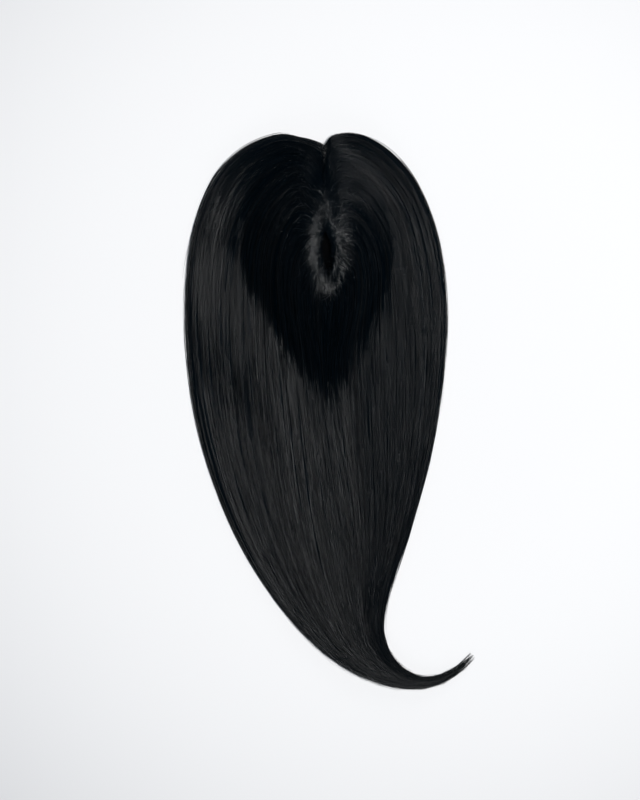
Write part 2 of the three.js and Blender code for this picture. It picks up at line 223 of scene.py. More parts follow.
# The brush of new hair round the whorl, row by row from the parting to the back, in millimetres
# from the whorl and degrees from the right: where the left and the right hairs are rooted, the way
# they set off and how long they are. Each turns towards the back by BRUSH_TURN as it goes.
BRUSH_ROWS = {
    "y": [-21, -17, -10, -3, 5, 14, 24, 36, 52],
    "left_x": [2.6, 0.6, -1.8, -3.4, -4.2, -3.8, -2.2, -1.2, -1.4],
    "right_x": [3.4, 5.4, 7.2, 8.0, 8.0, 7.0, 4.6, 0.6, -0.4],
    "left_way": [268, 254, 238, 222, 204, 176, 140, 118, 122],
    "right_way": [274, 292, 314, 330, 344, 360, 372, 394, 410],
    "left_long": [19, 26, 31, 26, 17, 13, 14, 17, 11],
    "right_long": [17, 18, 18, 17, 17, 17, 17, 18, 12],
}
BRUSH_HAIRS = 260
BRUSH_POINTS = 11
BRUSH_TURN = 34
BRUSH_TURN_RANGE = (0.6, 1.3)
BRUSH_LENGTH_RANGE = (0.4, 1.2)
BRUSH_SCATTER = 7
DENSE_CHANCE, DENSE_PART = 0.62, 0.55
GLINT_TILT = (0.13, 0.05)
TUFT_SPACING = 0.8 * MM
TUFT_TILT = 0.06
BRUSH_TOP = 2.6 * MM
BRUSH_ROOT = 3 * MM
BRUSH_FILL_PLACES = (4 * MM, -16 * MM)

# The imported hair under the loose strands, a closed bed for each curtain
BED_PIECES = [
    {"name": "bed_left", "node": "hair_left", "hands": [(-1, 0.0, 0.64)]},
    {"name": "bed_right", "node": "hair_right", "hands": [(1, 0.0, 0.64)]},
    {"name": "bed_crown", "node": "hair_crown", "hands": [(-1, 0.64, 1.0), (1, 1.0, 0.64)]},
]
BED_COLUMNS = 40
BED_STEPS = 60
BED_END = 13.7
BED_CROWDING = 1.15
BED_EDGE = 0.012
BED_UNDER = 1.5 * MM
BED_LIFT = 0.4 * MM
BED_LEAST = 0.3 * MM
BED_RIDGE = 0.35 * MM
BED_RIDGE_RATE, BED_RIDGE_SWING, BED_SWING_RATE = 610, 2, 0.8
BED_RIDGE_STEPS = (0.5, 2)
BED_GATHER, BED_GATHER_STEPS = 0.92, (11.2, BED_END)

# Colours and gloss, the colours as ramp stops
HAIR_DARK = (0.0003, 0.0022, 0.0042)
HAIR_LIGHT = (0.0034, 0.0045, 0.0056)
STRAND_STOPS = [(0, HAIR_DARK), (1, HAIR_LIGHT)]
BED_STOPS = [(0.3, HAIR_DARK), (0.75, HAIR_LIGHT)]
NET_STOPS = [(0.35, (0.003, 0.0018, 0.0016)), (0.8, (0.02, 0.011, 0.0095))]
TAPE_STOPS = [(0.2, (0.004, 0.0035, 0.0035)), (0.8, (0.014, 0.012, 0.012))]
FILM_STOPS = [(0, (0.0007, 0.0008, 0.001)), (1, (0.6, 0.55, 0.52))]
ENAMEL_STOPS = [(0, (0.012, 0.012, 0.013)), (1, (0.09, 0.085, 0.08))]
# Floor: the paper's own colour, then painted shade for the picture's corners, which grows between the two
# distances from the centre point
PAPER_AND_PAINTED_SHADE_STOPS = [(0, (0.905, 0.893, 0.888)), (1, (0.66, 0.655, 0.66))]
PAINTED_SHADE_CENTRE, PAINTED_SHADE_NEAR, PAINTED_SHADE_FAR = (0.06, 0.06, 0), 0.2, 0.55
STRAND_GLOSS = 0.15
NEW_HAIR_GLOSS = 0.52

# Stage
PIXEL = 0.85 * MM
IMAGE_WIDTH, IMAGE_HEIGHT = 640, 800
WHORL_PIXEL = (326, 255)
CAMERA_HEIGHT = 3.6
CAMERA_REACH = 20
SENSOR = 36
FLOOR_SIZE = 8
LIGHTS = [
    {"name": "soft_box", "place": (2.2, 0.8, 8.0), "aim": (2.2, 0.8, 0), "size": (2.05, 2.9), "power": 750},
    {"name": "fill_behind", "place": (0, -6.5, 2.4), "aim": (0, 0, 0), "size": (4, 2), "power": 45},
    {"name": "fill_before", "place": (0, 6.5, 2.4), "aim": (0, 0, 0), "size": (4, 2), "power": 45},
]
ROOM_COLOUR, ROOM_STRENGTH = (0.25, 0.62, 1, 1), 0.07


# Plan of the flow. "side" is -1 for left and 1 for right, "share" runs from the front edge (0) to
# the middle line behind the whorl (1) and "step" counts the rows from the roots (0) to the tip.

def smooth(low, high, value):
    t = np.clip((value - low) / (high - low), 0, 1)
    return t * t * (3 - 2 * t)


def mix(a, b, t):
    return a + (b - a) * t


def root_place(side, share):
    """Roots in plan, along the parting and round the whorl."""
    back = -WHORL_LENGTH / 2
    y = mix(PARTING_LENGTH, back, share)
    bulge = np.sqrt(np.clip(1 - (y / back) ** 2, 0, 1))
    opening = (PARTING_WIDTH * (1 - share) + WHORL_WIDTH * bulge) / 2
    return np.stack([PARTING_SHIFT * (1 - share) + side * opening, y], -1)


def row_place(row, side, share):
    def hand(pair):
        return np.where(side < 0, pair[0], pair[1])

    edge_x = hand((row["left"][0], row["right"][0]))
    edge_y = hand((row["left"][1], row["right"][1]))
    along = share + hand(row["pull"]) * np.sin(np.pi * share)
    square = 1 - np.sqrt(np.clip(1 - along ** 4, 0, 1))
    across = mix(along, square, row["bow"])
    push = side * hand(row["ring"]) * np.sin(np.pi * share ** 2)
    lean = row["lean"] * np.sin(np.pi * np.clip(share / LEAN_REACH, 0, 1))
    x = FALL_WIDTH * (mix(edge_x, row["middle"][0], across) + push)
    y = FALL_LENGTH * (mix(edge_y, row["middle"][1], along) + lean)
    return np.stack([x, y], -1)


def flow_place(side, share, step):
    """Places from the whorl for arrays of the same shape, on one smooth curve through the rows."""
    places = np.stack([root_place(side, share)] + [row_place(row, side, share) for row in ROWS])
    first = np.clip(np.floor(step).astype(int), 0, LAST_ROW - 1)
    t = (step - first)[..., None]
    spots = np.indices(step.shape)
    a, b, c, d = (places[(np.clip(first + k, 0, LAST_ROW), *spots)] for k in (-1, 0, 1, 2))
    bend = -a + 3 * b - 3 * c + d
    curl = TIP_CURL * np.sin(np.pi * np.clip(step - LAST_ROW + 1, 0, 1))[..., None]
    lift = NOTCH_LIFT * (smooth(*NOTCH_SHARES, share) * smooth(*NOTCH_STEPS, step))[..., None]
    path = 0.5 * (2 * b + (c - a) * t + (2 * a - 5 * b + 4 * c - d) * t ** 2 + bend * t ** 3)
    return path + (curl + lift)


def row_value(name, step):
    return np.interp(step, np.arange(1, LAST_ROW + 1), [row[name] for row in ROWS])


def reach_across(side, step):
    """How wide the fall is from its edge to its middle line at a step."""
    edge = flow_place(side, np.zeros_like(step), step)
    middle = flow_place(side, np.ones_like(step), step)
    return np.linalg.norm(edge - middle, axis=-1)


# Heights

def cap_fall(x, y, drape):
    """How much of the dome's rise is left at a place, below zero beyond its rim."""
    along = CAP_LENGTH / 2 + np.where(y > CAP_CENTRE_Y, drape["front"], drape["back"])
    across = CAP_WIDTH / 2 + np.where(x < 0, drape["left"], drape["right"])
    across = across * (1 - drape["taper"] * smooth(0, 1, (CAP_CENTRE_Y - y) / along))
    return 1 - (x / across) ** 2 - ((y - CAP_CENTRE_Y) / along) ** 2


def groove_depth(x, y):
    """How deep the parting and the whorl are sunk into the hair."""
    forward = np.clip(y / PARTING_LENGTH, 0, 1)
    depth = mix(GROOVE_CROWN, GROOVE_FRONT, forward)
    beyond = np.maximum(0, np.maximum(-y - WHORL_LENGTH / 2, y - PARTING_LENGTH))
    distance = np.hypot(x - PARTING_SHIFT * forward, beyond)
    return depth * np.exp(-((distance / (GROOVE_WIDTH / 2)) ** 2))


def cap_height(x, y):
    return np.maximum(0, CAP_RISE * cap_fall(x, y, BARE_CAP))


def full_level(x, y, depth):
    """The hair's top away from its edges: over the cap or flat on the floor, and grooved."""
    over_cap = CAP_RISE * cap_fall(x, y, DRAPE) + HAIR_LOFT
    return (over_cap + depth + np.hypot(over_cap - depth, FLOW_BLEND)) / 2 - groove_depth(x, y)


def hair_levels(side, share, step, plan):
    """Height of the hair's top and of what it lies on, for places in plan."""
    x, y = plan[..., 0], plan[..., 1]
    full = full_level(x, y, HAIR_DEPTH * row_value("depth", step))
    swollen = smooth(*SWELL_IN_STEPS, step) * smooth(*SWELL_OUT_STEPS, step)
    swollen = swollen * smooth(*SWELL_SHARES, share) * (side < 0)
    full = full + SIDE_SWELL * swollen * np.cos(2 * np.pi * (step - SWELL_CREST) / SWELL_LENGTH)
    inward = np.clip(share * reach_across(side, step) / EDGE_ROUND, 0, 1)
    least = np.minimum(EDGE_DEPTH, full)
    top = mix(least, full, np.sqrt(1 - (1 - inward) ** 2))
    return top, cap_height(x, y)


# Node trees

class Wire:
    """A node's output that takes part in sums, products and the like."""

    def __init__(self, graph, socket):
        self.graph, self.socket = graph, socket

    def calc(self, operation, other, turned=False):
        pair = (other, self) if turned else (self, other)
        return self.graph.node("ShaderNodeMath", {"operation": operation}, dict(enumerate(pair)))

    def __add__(self, other):
        return self.calc("ADD", other)

    def __rsub__(self, other):
        return self.calc("SUBTRACT", other, turned=True)

    def __mul__(self, other):
        return self.calc("MULTIPLY", other)

    def __pow__(self, other):
        return self.calc("POWER", other)

    __radd__ = __add__
    __rmul__ = __mul__


class Graph:
    """A node tree that is filled one node at a time."""

    def __init__(self, tree):
        self.tree = tree

    def node(self, kind, settings=None, inputs=None, output=0):
        node = self.tree.nodes.new(kind)
        for name, value in (settings or {}).items():
            if name == "stops":
                self.set_stops(node.color_ramp, value)
            else:
                setattr(node, name, value)
        for name, value in (inputs or {}).items():
            if isinstance(value, Wire):
                self.tree.links.new(value.socket, node.inputs[name])
            else:
                node.inputs[name].default_value = value
        return Wire(self, node.outputs[output]) if len(node.outputs) else None

    @staticmethod
    def set_stops(ramp, stops):
        while len(ramp.elements) < len(stops):
            ramp.elements.new(1)
        for element, (place, colour) in zip(ramp.elements, stops):
            element.position, element.color = place, (*colour, 1)

    def place(self):
        return self.node("ShaderNodeTexCoord", output="Object")

    def value(self, name):
        return self.node("ShaderNodeAttribute", {"attribute_name": name}, output="Fac")

    def noise(self, place, scale, detail):
        return self.node("ShaderNodeTexNoise", None, {"Vector": place, "Scale": scale, "Detail": detail})

    def wave(self, place, scale, direction):
        settings = {"bands_direction": direction}
        return self.node("ShaderNodeTexWave", settings, {"Vector": place, "Scale": scale}, "Fac")

    def window(self, value, low, high):
        return self.node("ShaderNodeMapRange", None, {0: value, 1: low, 2: high})

    def ramp(self, stops, factor):
        return self.node("ShaderNodeValToRGB", {"stops": stops}, {"Fac": factor})

    def bump(self, height, strength, distance):
        inputs = {"Height": height, "Strength": strength, "Distance": distance}
        return self.node("ShaderNodeBump", None, inputs)

    def feed(self, **wires):
        """Links wires to the shader's sockets, with underscores for blanks."""
        for name, wire in wires.items():
            self.tree.links.new(wire.socket, self.shader.inputs[name.replace("_", " ")])


def new_material(name, settings):
    """A material with one Principled BSDF whose constant sockets are set directly."""
    material = bpy.data.materials.new(name)
    material.use_nodes = True
    material.node_tree.nodes.clear()
    graph = Graph(material.node_tree)
    surface = graph.node("ShaderNodeBsdfPrincipled", None, settings)
    graph.node("ShaderNodeOutputMaterial", None, {"Surface": surface})
    graph.shader = surface.socket.node
    return material, graph


# Finishes

def strand_finish(name, gloss):
    """Black hair with a tint for each strand; gloss is how strongly it mirrors the light."""
    material, graph = new_material(name, {"IOR": 1.5, "Specular IOR Level": gloss})
    tint = graph.value("tint")
    worn = graph.window(graph.value("along"), 0.55, 1.0)
    roughness = 0.09 + tint * 0.14 + worn * 0.16
    graph.feed(Base_Color=graph.ramp(STRAND_STOPS, tint), Roughness=roughness)
    return material


def bed_finish():
    """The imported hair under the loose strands: streaks along the flow, from the bed's own map."""
    material, graph = new_material("hair_bed", {"Specular IOR Level": 0.01})
    place = graph.node("ShaderNodeUVMap", {"uv_map": "flow"})
    stretched = graph.node("ShaderNodeMapping", None, {"Vector": place, "Scale": (420, 5, 1)})
    streak = graph.noise(stretched, 1.0, 3)
    graph.feed(Base_Color=graph.ramp(BED_STOPS, streak), Roughness=0.75 + streak * 0.2,
               Normal=graph.bump(streak, 0.5, 0.3 * MM))
    return material


def net_finish():
    """Fine dark net of crossed threads."""
    material, graph = new_material("cap_net", {"Specular IOR Level": 0.2})
    eighth = {"Vector": graph.place(), "Rotation": (0, 0, np.pi / 4)}
    turned = graph.node("ShaderNodeMapping", None, eighth)
    weave = graph.wave(turned, 220, "X").calc("MAXIMUM", graph.wave(turned, 220, "Y"))
    graph.feed(Base_Color=graph.ramp(NET_STOPS, weave), Roughness=0.9 - weave * 0.15,
               Normal=graph.bump(weave, 0.8, 0.2 * MM))
    return material


def tape_finish():
    """Dark soft binding tape with fine ribs across it."""
    material, graph = new_material("cap_tape", {"Specular IOR Level": 0.15})
    place = graph.place()
    rib = graph.wave(place, 420, "DIAGONAL")
    fuzz = graph.noise(place, 1500, 2)
    colour = graph.ramp(TAPE_STOPS, 0.7 * rib + 0.3 * fuzz)
    graph.feed(Base_Color=colour, Roughness=0.75 + fuzz * 0.2, Normal=graph.bump(rib, 0.6, 0.1 * MM))
    return material


def panel_finish():
    """Skin-like film with a fine pebble, pale at the hairline and dark with roots farther back."""
    material, graph = new_material("panel_film", {"Specular IOR Level": 0.01})
    place = graph.place()
    pebble = graph.noise(place, 900, 2)
    forward = graph.node("ShaderNodeSeparateXYZ", None, {"Vector": place}, "Y")
    hairline = WHORL[1] + PARTING_LENGTH
    bare = graph.window(forward, hairline - FILM_DARK_END, hairline - FILM_PALE_START)
    graph.feed(Base_Color=graph.ramp(FILM_STOPS, bare), Roughness=0.5 + pebble * 0.2,
               Normal=graph.bump(pebble, 0.3, 0.1 * MM))
    return material


def clip_finish():
    """Black enamel on spring steel, worn a little where it rubs."""
    material, graph = new_material("clip_enamel", {})
    wear = graph.noise(graph.place(), 260, 4)
    worn = graph.window(wear, 0.6, 0.72)
    graph.feed(Base_Color=graph.ramp(ENAMEL_STOPS, worn), Roughness=0.32 + wear * 0.2,
               Metallic=0.2 + worn * 0.7)
    return material


def floor_finish():
    """White paper with painted shade that darkens it towards the corners of the picture."""
    material, graph = new_material("floor_paper", {"Roughness": 0.9, "Specular IOR Level": 0.1})
    place = graph.place()
    ends = {0: place, 1: PAINTED_SHADE_CENTRE}
    far = graph.node("ShaderNodeVectorMath", {"operation": "DISTANCE"}, ends, "Value")
    # Painted shade: the paper's colour darkens with distance from the centre, plus a faint noise of the
    # paper's own grain
    shade = graph.window(far, PAINTED_SHADE_NEAR, PAINTED_SHADE_FAR) ** 2 + 0.03 * graph.noise(place, 700, 2)
    graph.feed(Base_Color=graph.ramp(PAPER_AND_PAINTED_SHADE_STOPS, shade))
    return material


# Strands as lines with a value at each point, made tubes by one node tree

def tube_tree():
    """Turns lines into tapered tubes: Thickness scales each point's girth, Sides rounds them."""
    tree = bpy.data.node_groups.new("strand_tubes", "GeometryNodeTree")
    kinds = {"Geometry": "Geometry", "Thickness": "Float", "Sides": "Int", "Finish": "Material"}
    for name, kind in kinds.items():
        tree.interface.new_socket(name, in_out="INPUT", socket_type="NodeSocket" + kind)
    tree.interface.new_socket("Geometry", in_out="OUTPUT", socket_type="NodeSocketGeometry")
    graph = Graph(tree)
    given = {name: graph.node("NodeGroupInput", output=name) for name in kinds}
    girth = graph.node("GeometryNodeInputNamedAttribute", {"data_type": "FLOAT"}, {"Name": "girth"})
    lines = graph.node("GeometryNodeMeshToCurve", None, {"Mesh": given["Geometry"]})
    ring = graph.node("GeometryNodeCurvePrimitiveCircle", None,
                      {"Resolution": given["Sides"], "Radius": 1.0})
    index = graph.node("GeometryNodeInputIndex")
    marked = graph.node("GeometryNodeStoreNamedAttribute", {"data_type": "FLOAT"},
                        {"Geometry": ring, "Name": "around", "Value": index * 1.0})
    tubes = graph.node("GeometryNodeCurveToMesh", None,
                       {"Curve": lines, "Profile Curve": marked, "Fill Caps": True,
                        "Scale": girth * given["Thickness"]})
    rounded = graph.node("GeometryNodeSetShadeSmooth", None, {"Geometry": tubes})
    whole = graph.node("GeometryNodeRealizeInstances", None, {"Geometry": rounded})
    done = graph.node("GeometryNodeSetMaterial", None, {"Geometry": whole, "Material": given["Finish"]})
    graph.node("NodeGroupOutput", None, {"Geometry": done})
    return tree


def bake_modifier(obj, tree, values):
    """Adds the tree with its named inputs, turns the result into the object's plain mesh."""
    modifier = obj.modifiers.new(tree.name, "NODES")
    modifier.node_group = tree
    for item in tree.interface.items_tree:
        if item.in_out == "INPUT" and item.name in values:
            modifier[item.identifier] = values[item.name]
    depsgraph = bpy.context.evaluated_depsgraph_get()
    made = bpy.data.meshes.new_from_object(obj.evaluated_get(depsgraph))
    obj.modifiers.clear()
    plain = obj.data
    obj.data = made
    bpy.data.meshes.remove(plain)


def line_mesh(name, points, values):
    """A mesh of open lines: points is (lines, points, 3) and values holds an array for each name."""
    lines, count, _ = points.shape
    mesh = bpy.data.meshes.new(name)
    mesh.vertices.add(lines * count)
    mesh.vertices.foreach_set("co", points.astype(np.float32).ravel())
    start = (np.arange(lines)[:, None] * count + np.arange(count - 1)).ravel()
    mesh.edges.add(len(start))
    mesh.edges.foreach_set("vertices", np.stack([start, start + 1], -1).ravel())
    for label, value in values.items():
        everywhere = np.broadcast_to(value, (lines, count)).astype(np.float32)
        mesh.attributes.new(label, "FLOAT", "POINT").data.foreach_set("value", everywhere.ravel())
    mesh.update()
    return mesh


def read_values(mesh, label):
    values = np.empty(len(mesh.vertices), np.float32)
    mesh.attributes[label].data.foreach_get("value", values)
    return values


def corner_vertices(mesh):
    corners = np.empty(len(mesh.loops), np.int32)
    mesh.loops.foreach_get("vertex_index", corners)
    return corners


def map_strands(mesh, lines):
    """Gives each strand its own thin column of the map that a finish can be stored in."""
    strand, along, around = (read_values(mesh, label) for label in ("strand", "along", "around"))
    corners = corner_vertices(mesh)
    u = (strand + 0.2 + 0.6 * around / STRAND_SIDES) / lines
    layer = mesh.uv_layers.new(name="OFBake")
    layer.data.foreach_set("uv", np.stack([u[corners], along[corners]], -1).astype(np.float32).ravel())
    for label in ("strand", "around", "girth"):
        mesh.attributes.remove(mesh.attributes[label])


def ripple(rng, along, waves):
    """Random slow swings along each line, waves being (wavelength in steps, size) pairs."""
    total = np.zeros(along.shape)
    each = (len(along), 1)
    for length, size in waves:
        phase = rng.uniform(0, 2 * np.pi, each)
        stretch = length * rng.uniform(0.7, 1.4, each)
        total += size * rng.normal(1, 0.3, each) * np.sin(2 * np.pi * along / stretch + phase)
    return total


class Clump:
    """Which clump of a hand each strand is in, and what the strands of one clump share."""

    def __init__(self, seed, share, per_share):
        rng = np.random.default_rng(seed)
        count = int(per_share * 1.1) + 4
        place = share * per_share + CLUMP_START
        for (size, rate), shift in zip(CLUMP_SWINGS, rng.uniform(0, 2 * np.pi, 2)):
            place = place + size * np.sin(share * per_share * rate + shift)
        index = np.clip(np.floor(place).astype(int), 0, count - 1)
        self.offset = 2 * (place - np.floor(place)) - 1
        self.heart = share - self.offset / (2 * per_share)
        self.phases = rng.uniform(0, 2 * np.pi, (count, 4))[index]
        self.tone = rng.normal(0, 1, count)[index]

    def wave(self, number, along, length):
        return np.sin(2 * np.pi * along / length + self.phases[..., number])


def root_shift(side, share):
    """How much farther back than its path a strand is rooted, so that it leans forward first."""
    round_whorl = smooth(*WHORL_SHARES, share) * smooth(*BACK_SHARES, share)
    forward = smooth(*LEAN_SHARES, share) * mix(HAIRLINE_LEAN, 1, smooth(*HAIRLINE_SHARES, share))
    return ROOT_LEAN[side] * forward + WHORL_LEAN[side] * round_whorl


class Strands:
    """Strands of one hand that are laid in the flow, from the steps they start at to their ends."""

    def __init__(self, rng, side, share, starts, ends, points_each=STRAND_POINTS, lifted=0):
        self.rng, self.side, self.share = rng, side, share
        self.starts, self.ends, self.lifted = starts, ends, lifted
        self.u = np.linspace(0, 1, points_each)[None]
        self.step = starts + (ends - starts) * self.u ** POINT_CROWDING
        self.clumps = {name: Clump(seed + side, share, per_share)
                       for name, (seed, per_share) in CLUMPS.items()}

    def draw(self, kind, *limits):
        """One random number for each strand."""
        return getattr(self.rng, kind)(*limits, self.share.shape)

    def sum_waves(self, table):
        return sum(size * self.clumps[name].wave(number, self.step, length) * smooth(*window, self.step)
                   for name, number, length, size, window in table)

    def paths(self):
        """Shares along the way: strands gather into locks, sway with them and end in wisps."""
        share, step = self.share, self.step
        gathered = smooth(*GATHER_STEPS, step) * smooth(*GATHER_SHARES, share)
        shares = share + self.sum_waves(SWAYS)
        for name, length, mean, swing in GATHERING:
            clump = self.clumps[name]
            drawn = mean + swing * clump.wave(0, step, length)
            shares = shares + (clump.heart - share) * gathered * drawn
        stray = np.where(self.draw("random") < STRAY_CHANCE, STRAY_SWING, CALM_SWING)
        shares = shares + stray * ripple(self.rng, step, SHARE_RIPPLES) * smooth(0, 2.5, step)
        lean = root_shift(self.side, share) * self.draw("uniform", 0.4, 1.3)
        shares = shares + lean * np.exp(-LEAN_FADE[self.side] * step)
        shares = shares + self.lifted * self.draw("normal", 0, SHORT_FAN) * step
        shares = np.clip(shares, np.minimum(LOWEST_SHARE, share), FARTHEST_SHARE)
        wisp = TIP_WISPS[np.argmin(np.abs(share[..., None] - WISP_ROOTS), -1)]
        return mix(shares, wisp, WISP_PULL * smooth(LAST_ROW - 1, LAST_ROW, step))

    def relief(self):
        """How far the strands of each clump stand above or below the even surface."""
        relief = self.sum_waves(RELIEF) + TONE_RELIEF * np.clip(self.clumps["fine"].tone, -1.5, 1.5)
        return relief - sum(drop * self.clumps[name].offset ** 2 for name, drop in CLUMP_ROUNDING.items())

    def sink(self):
        """How deep each strand lies in the fall; short new hairs stand up out of it instead."""
        depth = self.draw("exponential", MEAN_SINK)
        depth = depth + ripple(self.rng, self.step, [LONG_RIPPLE])
        depth = depth + ripple(self.rng, self.step, [SHORT_RIPPLE]) * smooth(*FLAT_STEPS, self.step)
        return np.clip(depth, *SINK_LIMITS) - self.lifted * self.draw("uniform", 0, SHORT_LIFT) * self.u

    def levels(self, sides, shares, plan):
        """Heights along the way, from the cap through the surface of the fall and down at its edge."""
        share, step = self.share, self.step
        top, under = hair_levels(sides, shares, step, plan)
        fill = mix(ARCH_FILL[self.side], CROWN_FILL, smooth(0.86, 1, share))
        top = top + fill * groove_depth(plan[..., 0], plan[..., 1])
        level = top + self.relief() * smooth(*RELIEF_STEPS, step) - self.sink()
        inward = shares * reach_across(sides, step)
        pile = self.draw("random") * smooth(EDGE_ROUND, 0, inward)
        lowest = under + LOW_STRAND
        level = np.maximum(mix(level, lowest, pile * EDGE_PILE), lowest)
        first = mix(PARTING_RISE, WHORL_RISE, smooth(0.55, 0.7, share))
        leaving = smooth(*RISE_STEPS, step - self.starts)
        rise = np.where(self.starts < 0.2, first + (1 - first) * leaving, leaving)
        return mix(under + LOW_ROOT, level, rise)

    def loosened(self, plan):
        """Roots spread over the film and into the whorl, and ends lie a little apart."""
        share = self.share
        opening = np.abs(root_place(self.side, share)[..., 0] - PARTING_SHIFT * (1 - share))
        crossing = PARTING_CROSSING * smooth(0.72, 0.6, share)
        reach = np.maximum(crossing, opening * mix(0.55, 0.95, self.lifted))
        inset = self.draw("uniform", -0.25, 1) * reach * np.exp(-CROSSING_FADE * self.step)
        plan = plan - np.stack([self.side * inset, np.zeros_like(inset)], -1)
        looseness = LOOSE_END * mix(1, 0.3, smooth(12, LAST_ROW, self.ends))
        looseness = looseness * smooth(0.8, 1, self.u) ** 2
        return plan + self.rng.normal(0, 1, (*share.shape, 2)) * looseness[..., None]

    def lay(self):
        """Points of the strands and their values, for line_mesh."""
        shares = self.paths()
        crossed = shares > 1
        sides = np.where(crossed, -self.side, self.side)
        shares = np.where(crossed, 2 - shares, shares)
        plan = flow_place(sides, shares, self.step)
        level = self.levels(sides, shares, plan)
        points = np.concatenate([self.loosened(plan), level[..., None]], -1) + WHORL
        girth = self.draw("uniform", *GIRTH_RANGE) + STOUT_EXTRA * (self.draw("random") < STOUT_CHANCE)
        girth = girth * mix(ROOT_GIRTH, 1, smooth(0, 0.05, self.u))
        girth = girth * mix(1, TIP_GIRTH, smooth(0.9, 1, self.u))
        tint = self.draw("beta", *TINT_SPREAD)
        for name, weight in TINT_TONES.items():
            tint = tint + weight * self.clumps[name].tone
        return points, {"girth": girth, "tint": np.clip(tint, 0, 1), "along": self.u}


def strand_lines(rng, side, low, high, lines):
    """Strands whose paths lie between two shares of the fall, some of them from under others."""
    each = (lines, 1)
    share = low + (high - low) * (np.arange(lines)[:, None] + rng.uniform(0, 1, each)) / lines
    starts = np.where(rng.random(each) < ROOTED_CHANCE, 0, rng.uniform(0, LATEST_START, each))
    ends = np.interp(rng.random(each), END_CHANCE, END_STEP) + rng.normal(0, END_SCATTER, each)
    return Strands(rng, side, share, starts, np.clip(ends, END_STEP[0], LAST_ROW)).lay()


def short_lines(rng, side, lines):
    """Short new hairs that stand a little proud along the parting and beside the whorl."""
    share = 1 - 0.9 * rng.random((lines, 1))
    starts = rng.uniform(0, 0.12, (lines, 1))
    ends = rng.uniform(0.7, 2.1, (lines, 1))
    return Strands(rng, side, share, starts, ends, SHORT_POINTS, lifted=1).lay()


def flyaway_lines(rng, side, lines):
    """A few fine stray hairs that leave the outline of the fall and come back to it."""
    share = -0.009 * rng.random((lines, 1)) ** 2
    starts = rng.uniform(1.5, 9, (lines, 1))
    ends = np.minimum(starts + rng.uniform(1.5, 4, (lines, 1)), LAST_ROW)
    points, values = Strands(rng, side, share, starts, ends).lay()
    return points, {**values, "girth": 0.6 * values["girth"]}


# The brush of new hair round the whorl

def brush_plan(rng, side, lines, u):
    """Places from the whorl, the way the hairs go and how long each of their parts is."""
    hand = "left" if side < 0 else "right"
    each = (lines, 1)
    spread = rng.random(each)
    spread = np.where(rng.random(each) < DENSE_CHANCE, DENSE_PART * spread, spread)
    y = mix(BRUSH_ROWS["y"][0], BRUSH_ROWS["y"][-1], spread)
    x, way, long = (np.interp(y, BRUSH_ROWS["y"], BRUSH_ROWS[hand + column])
                    for column in ("_x", "_way", "_long"))
    way = way + rng.normal(0, BRUSH_SCATTER, each)
    way = np.radians(way - side * BRUSH_TURN * rng.uniform(*BRUSH_TURN_RANGE, each) * u)
    long = long * rng.uniform(*BRUSH_LENGTH_RANGE, each) * MM / (BRUSH_POINTS - 1)
    x = x - side * (rng.exponential(1.0, each) - 0.5)
    y = y + rng.normal(0, 0.6, each)
    advance = np.stack([np.cos(way), np.sin(way)], -1) * long[..., None]
    return np.stack([x, y], -1) * MM + np.cumsum(advance, 1) - advance, way, long


def brush_levels(rng, side, plan, way, long, u):
    """Heights: the hairs tilt the way that catches the light, tuft by tuft, and stay near the fall."""
    x, y = plan[..., 0], plan[..., 1]
    tuft = np.floor((y[:, :1] - y[:, :1].min()) / TUFT_SPACING).astype(int)
    tilt = -(GLINT_TILT[0] * np.cos(way) + GLINT_TILT[1] * np.sin(way))
    tilt = tilt + TUFT_TILT * rng.normal(0, 1, tuft.max() + 1)[tuft] + rng.normal(0, 0.06, tuft.shape)
    fill = mix(ARCH_FILL[side], CROWN_FILL, smooth(*BRUSH_FILL_PLACES, y))
    surface = full_level(x, y, HAIR_DEPTH) + fill * groove_depth(x, y)
    level = np.maximum(surface[:, 2:3] + np.cumsum(tilt * long, 1), surface)
    level = level + rng.uniform(-0.5, 0.9, tuft.shape) * MM
    return np.minimum(level, surface + BRUSH_TOP) - BRUSH_ROOT * (1 - smooth(0, 0.22, u))


def brush_lines(rng, side, lines):
    """New hairs that fan out of the whorl."""
    u = np.linspace(0, 1, BRUSH_POINTS)[None]
    plan, way, long = brush_plan(rng, side, lines, u)
    level = brush_levels(rng, side, plan, way, long, u)
    points = np.concatenate([plan, level[..., None]], -1) + WHORL
    girth = rng.uniform(0.7, 1.4, (lines, 1)) * mix(1, 0.3, smooth(0.45, 1, u))
    return points, {"girth": girth, "tint": rng.beta(*TINT_SPREAD, (lines, 1)), "along": u}


# Pieces of hair

def finish_piece(obj, slot_name, *replaced):
    """Puts a piece on the part's one body, in the place of plain solids; slot_name is not used."""
    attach(obj, "root")
    if replaced:
        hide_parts(*replaced)


def add_object(name, mesh):
    obj = bpy.data.objects.new(name, mesh)
    bpy.context.scene.collection.objects.link(obj)
    return obj


def make_strand_piece(name, tree, finish, points, values):
    strand = np.arange(len(points))[:, None]
    obj = add_object(name, line_mesh(name, points, {**values, "strand": strand}))
    bake_modifier(obj, tree, {"Thickness": STRAND_RADIUS, "Sides": STRAND_SIDES, "Finish": finish})
    map_strands(obj.data, len(points))
    finish_piece(obj, "hair")


